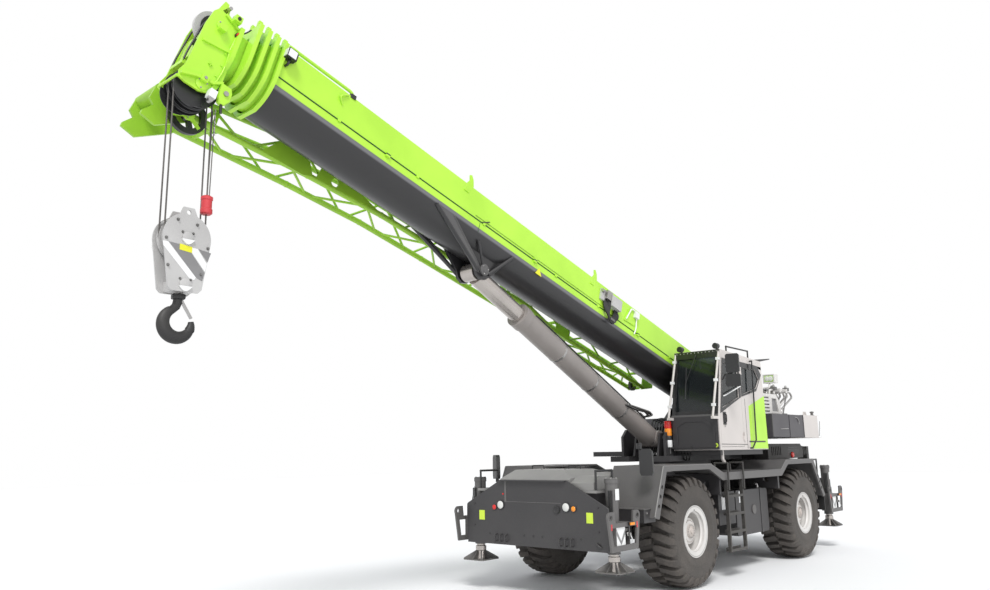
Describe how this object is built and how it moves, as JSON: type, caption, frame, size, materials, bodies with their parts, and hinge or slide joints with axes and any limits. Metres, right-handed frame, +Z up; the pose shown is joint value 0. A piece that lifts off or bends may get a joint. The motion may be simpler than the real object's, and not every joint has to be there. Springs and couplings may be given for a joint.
{
  "type": "rough-terrain mobile crane",
  "caption": "Two-axle rough-terrain mobile crane with a telescopic boom, stowed lattice jib, hook block, side cab and folding outriggers.",
  "frame": {"origin": "on the ground in the middle plane of the boom and carrier, halfway along the whole machine, boom included; the mirrors on the door reach 0.2 m further out on the left than anything on the right", "axes": "+Z up, -Y to the front of the machine (boom head), +X to its left side (cab side)"},
  "size_m": [3.4397, 15.5898, 7.3219],
  "materials": {
    "frame_grey": "satin dark grey paint",
    "charcoal_paint": "satin charcoal paint",
    "deck_grey": "satin grey paint",
    "cast": "painted casting",
    "axle_black": "matt black paint",
    "bearing_steel": "machined",
    "black_plastic": "moulded",
    "lamp_glass": "clear lens",
    "counterweight_grey": "satin warm grey paint",
    "warm_grey_paint": "satin warm grey paint",
    "window_glass": "tinted",
    "cylinder_grey": "satin grey paint",
    "rod_chrome": "hard chrome",
    "lime_paint": "satin lime paint",
    "sheave_black": "cast nylon",
    "rope_steel": "greased wire rope",
    "hook_block_grey": "satin light grey paint",
    "forged_hook": "black forged steel",
    "tyre_rubber": "dusty rubber",
    "rim_white": "satin off-white paint",
    "jack_steel": "worn grey paint"
  },
  "bodies": {
    "carrier": {"chassis": "frame_grey", "front_panel": "charcoal_paint", "deck_cover": "deck_grey", "mudguards": "frame_grey", "ladder": "charcoal_paint", "side_tank": "frame_grey", "engine_hood": "charcoal_paint", "engine_block": "cast", "axles": "axle_black", "slew_ring": "bearing_steel", "rails_and_mirrors": "black_plastic", "carrier_lamps": "lamp_glass"},
    "knuckle_body_fl": {"knuckle_fl": "axle_black"},
    "wheel_fl": {"tyre_fl": "tyre_rubber", "rim_fl": "rim_white"},
    "knuckle_body_fr": {"knuckle_fr": "axle_black"},
    "wheel_fr": {"tyre_fr": "tyre_rubber", "rim_fr": "rim_white"},
    "knuckle_body_rl": {"knuckle_rl": "axle_black"},
    "wheel_rl": {"tyre_rl": "tyre_rubber", "rim_rl": "rim_white"},
    "knuckle_body_rr": {"knuckle_rr": "axle_black"},
    "wheel_rr": {"tyre_rr": "tyre_rubber", "rim_rr": "rim_white"},
    "outrigger_fl": {"beam_fl": "frame_grey"},
    "leg_fl": {"jack_fl": "jack_steel"},
    "outrigger_fr": {"beam_fr": "frame_grey"},
    "leg_fr": {"jack_fr": "jack_steel"},
    "outrigger_rl": {"beam_rl": "frame_grey"},
    "leg_rl": {"jack_rl": "jack_steel"},
    "outrigger_rr": {"beam_rr": "frame_grey"},
    "leg_rr": {"jack_rr": "jack_steel"},
    "superstructure": {"turntable": "charcoal_paint", "counterweight": "counterweight_grey", "winch": "cast", "power_unit": "warm_grey_paint", "cab_shell": "warm_grey_paint", "cab_glass": "window_glass", "cab_interior": "black_plastic", "cab_roof_gear": "black_plastic"},
    "door": {"cab_door": "warm_grey_paint", "door_glass": "window_glass", "cab_mirrors": "black_plastic"},
    "boom": {"boom_base": "lime_paint", "jib": "lime_paint", "jib_sheaves": "sheave_black"},
    "lift_cylinder": {"lift_barrel": "cylinder_grey"},
    "lift_piston_rod": {"lift_rod": "rod_chrome"},
    "boom_section_2": {"boom_tele_1": "lime_paint"},
    "boom_section_3": {"boom_tele_2": "lime_paint"},
    "boom_section_4": {"boom_tele_3": "lime_paint"},
    "boom_section_5": {"boom_head": "lime_paint", "head_sheaves": "sheave_black"},
    "hook_tackle": {"rope_falls": "rope_steel", "hook_block": "hook_block_grey"},
    "hook_swivel": {"hook": "forged_hook"}
  },
  "joints": [
    {"name": "steer_fl", "type": "hinge", "parent": "carrier", "child": "knuckle_body_fl", "pos_m": [1, 0.605, 0.875], "axis": [0, 0, 1], "range_deg": [-26, 26]},
    {"name": "wheel_spin_fl", "type": "hinge", "parent": "knuckle_body_fl", "child": "wheel_fl", "pos_m": [1.28, 0.605, 0.875], "axis": [1, 0, 0], "continuous": true},
    {"name": "steer_fr", "type": "hinge", "parent": "carrier", "child": "knuckle_body_fr", "pos_m": [-1, 0.605, 0.875], "axis": [0, 0, 1], "range_deg": [-26, 26]},
    {"name": "wheel_spin_fr", "type": "hinge", "parent": "knuckle_body_fr", "child": "wheel_fr", "pos_m": [-1.28, 0.605, 0.875], "axis": [1, 0, 0], "continuous": true},
    {"name": "steer_rl", "type": "hinge", "parent": "carrier", "child": "knuckle_body_rl", "pos_m": [1, 5.205, 0.875], "axis": [0, 0, 1], "range_deg": [-26, 26]},
    {"name": "wheel_spin_rl", "type": "hinge", "parent": "knuckle_body_rl", "child": "wheel_rl", "pos_m": [1.28, 5.205, 0.875], "axis": [1, 0, 0], "continuous": true},
    {"name": "steer_rr", "type": "hinge", "parent": "carrier", "child": "knuckle_body_rr", "pos_m": [-1, 5.205, 0.875], "axis": [0, 0, 1], "range_deg": [-26, 26]},
    {"name": "wheel_spin_rr", "type": "hinge", "parent": "knuckle_body_rr", "child": "wheel_rr", "pos_m": [-1.28, 5.205, 0.875], "axis": [1, 0, 0], "continuous": true},
    {"name": "beam_slide_fl", "type": "slide", "parent": "carrier", "child": "outrigger_fl", "axis": [1, 0, 0], "range_m": [0, 2.1]},
    {"name": "jack_slide_fl", "type": "slide", "parent": "outrigger_fl", "child": "leg_fl", "axis": [0, 0, -1], "range_m": [0, 0.62]},
    {"name": "beam_slide_fr", "type": "slide", "parent": "carrier", "child": "outrigger_fr", "axis": [-1, 0, 0], "range_m": [0, 2.1]},
    {"name": "jack_slide_fr", "type": "slide", "parent": "outrigger_fr", "child": "leg_fr", "axis": [0, 0, -1], "range_m": [0, 0.62]},
    {"name": "beam_slide_rl", "type": "slide", "parent": "carrier", "child": "outrigger_rl", "axis": [1, 0, 0], "range_m": [0, 2.1]},
    {"name": "jack_slide_rl", "type": "slide", "parent": "outrigger_rl", "child": "leg_rl", "axis": [0, 0, -1], "range_m": [0, 0.62]},
    {"name": "beam_slide_rr", "type": "slide", "parent": "carrier", "child": "outrigger_rr", "axis": [-1, 0, 0], "range_m": [0, 2.1]},
    {"name": "jack_slide_rr", "type": "slide", "parent": "outrigger_rr", "child": "leg_rr", "axis": [0, 0, -1], "range_m": [0, 0.62]},
    {"name": "slew", "type": "hinge", "parent": "carrier", "child": "superstructure", "pos_m": [0, 2.905, 1.93], "axis": [0, 0, 1], "continuous": true},
    {"name": "door_hinge", "type": "hinge", "parent": "superstructure", "child": "door", "pos_m": [1.468, 2.971, 3], "axis": [0, 0, 1], "range_deg": [0, 85]},
    {"name": "boom_luff", "type": "hinge", "parent": "superstructure", "child": "boom", "pos_m": [0, 4.305, 3.15], "axis": [-1, 0, 0], "range_deg": [-18.6, 63.4]},
    {"name": "lift_rod_tilt", "type": "hinge", "parent": "boom", "child": "lift_piston_rod", "pos_m": [0, -2.89027, 4.8463], "axis": [-1, 0, 0], "range_deg": [-2.5, 8]},
    {"name": "lift_barrel_slide", "type": "slide", "parent": "lift_piston_rod", "child": "lift_cylinder", "axis": [0, 0.8949, -0.4463], "range_m": [-0.7, 2.25]},
    {"name": "telescope_1", "type": "slide", "parent": "boom", "child": "boom_section_2", "axis": [0, -0.9583, 0.2857], "range_m": [0, 8]},
    {"name": "telescope_2", "type": "slide", "parent": "boom_section_2", "child": "boom_section_3", "axis": [0, -0.9583, 0.2857], "range_m": [0, 8]},
    {"name": "telescope_3", "type": "slide", "parent": "boom_section_3", "child": "boom_section_4", "axis": [0, -0.9583, 0.2857], "range_m": [0, 8]},
    {"name": "telescope_4", "type": "slide", "parent": "boom_section_4", "child": "boom_section_5", "axis": [0, -0.9583, 0.2857], "range_m": [0, 8]},
    {"name": "hook_hang", "type": "hinge", "parent": "boom_section_5", "child": "hook_tackle", "pos_m": [0, -7.47508, 6.21936], "axis": [-1, 0, 0], "range_deg": [-63.5, 18.7]},
    {"name": "hook_turn", "type": "hinge", "parent": "hook_tackle", "child": "hook_swivel", "pos_m": [0, -7.47508, 3.8], "axis": [0, 0, 1], "continuous": true}
  ],
  "couplings": [
    {"joint": "steer_fr", "follows": "steer_fl", "ratio": 1},
    {"joint": "steer_rr", "follows": "steer_rl", "ratio": 1},
    {"joint": "lift_rod_tilt", "follows": "boom_luff", "ratio": 0.12},
    {"joint": "lift_barrel_slide", "follows": "boom_luff", "m_per_rad": 2},
    {"joint": "telescope_2", "follows": "telescope_1", "ratio": 1},
    {"joint": "telescope_3", "follows": "telescope_1", "ratio": 1},
    {"joint": "telescope_4", "follows": "telescope_1", "ratio": 1},
    {"joint": "hook_hang", "follows": "boom_luff", "ratio": -1}
  ]
}
